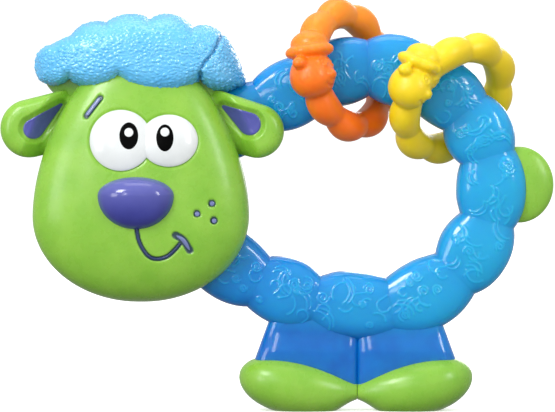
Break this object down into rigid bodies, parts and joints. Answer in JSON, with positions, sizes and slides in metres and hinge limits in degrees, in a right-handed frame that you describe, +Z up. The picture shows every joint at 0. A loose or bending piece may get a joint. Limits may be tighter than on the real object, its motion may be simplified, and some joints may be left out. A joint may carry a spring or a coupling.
{
  "type": "teething ring",
  "caption": "Water-filled baby teething ring shaped like a standing lamb, with a hard plastic head, ears, boots and tail and two soft loops that travel along the ring.",
  "frame": {"origin": "centre of the object's footprint box, on the surface the boots stand on", "axes": "+Z up, the lamb's face looks towards -Y, +X runs from the head to the tail"},
  "size_m": [0.1517, 0.038, 0.1124],
  "materials": {
    "clear_blue": "gloss",
    "water_blue": "gloss",
    "green_plastic": "satin",
    "fleece_blue": "satin",
    "purple_plastic": "gloss",
    "eye_white": "gloss",
    "orange_soft": "satin",
    "yellow_soft": "satin"
  },
  "bodies": {
    "lamb": {"ring_front_shell": "clear_blue", "ring_rear_shell": "clear_blue", "water_fill": "water_blue", "fill_plug": "clear_blue", "head_front_shell": "green_plastic", "head_rear_shell": "green_plastic", "cap_front": "fleece_blue", "cap_rear": "fleece_blue", "left_ear": "green_plastic", "right_ear": "green_plastic", "left_inner_ear": "purple_plastic", "right_inner_ear": "purple_plastic", "nose": "purple_plastic", "eye_plate": "eye_white", "left_boot_front": "green_plastic", "left_boot_rear": "green_plastic", "right_boot_front": "green_plastic", "right_boot_rear": "green_plastic", "tail_front": "green_plastic", "tail_rear": "green_plastic"},
    "orange_loop": {"orange_loop": "orange_soft"},
    "yellow_loop": {"yellow_loop": "yellow_soft"}
  },
  "joints": [
    {"name": "orange_travel", "type": "hinge", "parent": "lamb", "child": "orange_loop", "pos_m": [0.0261, 0.0029, 0.0615], "axis": [0, 1, 0], "range_deg": [-16, 5]},
    {"name": "yellow_travel", "type": "hinge", "parent": "lamb", "child": "yellow_loop", "pos_m": [0.0261, 0.0029, 0.0615], "axis": [0, 1, 0], "range_deg": [-5, 24]}
  ]
}
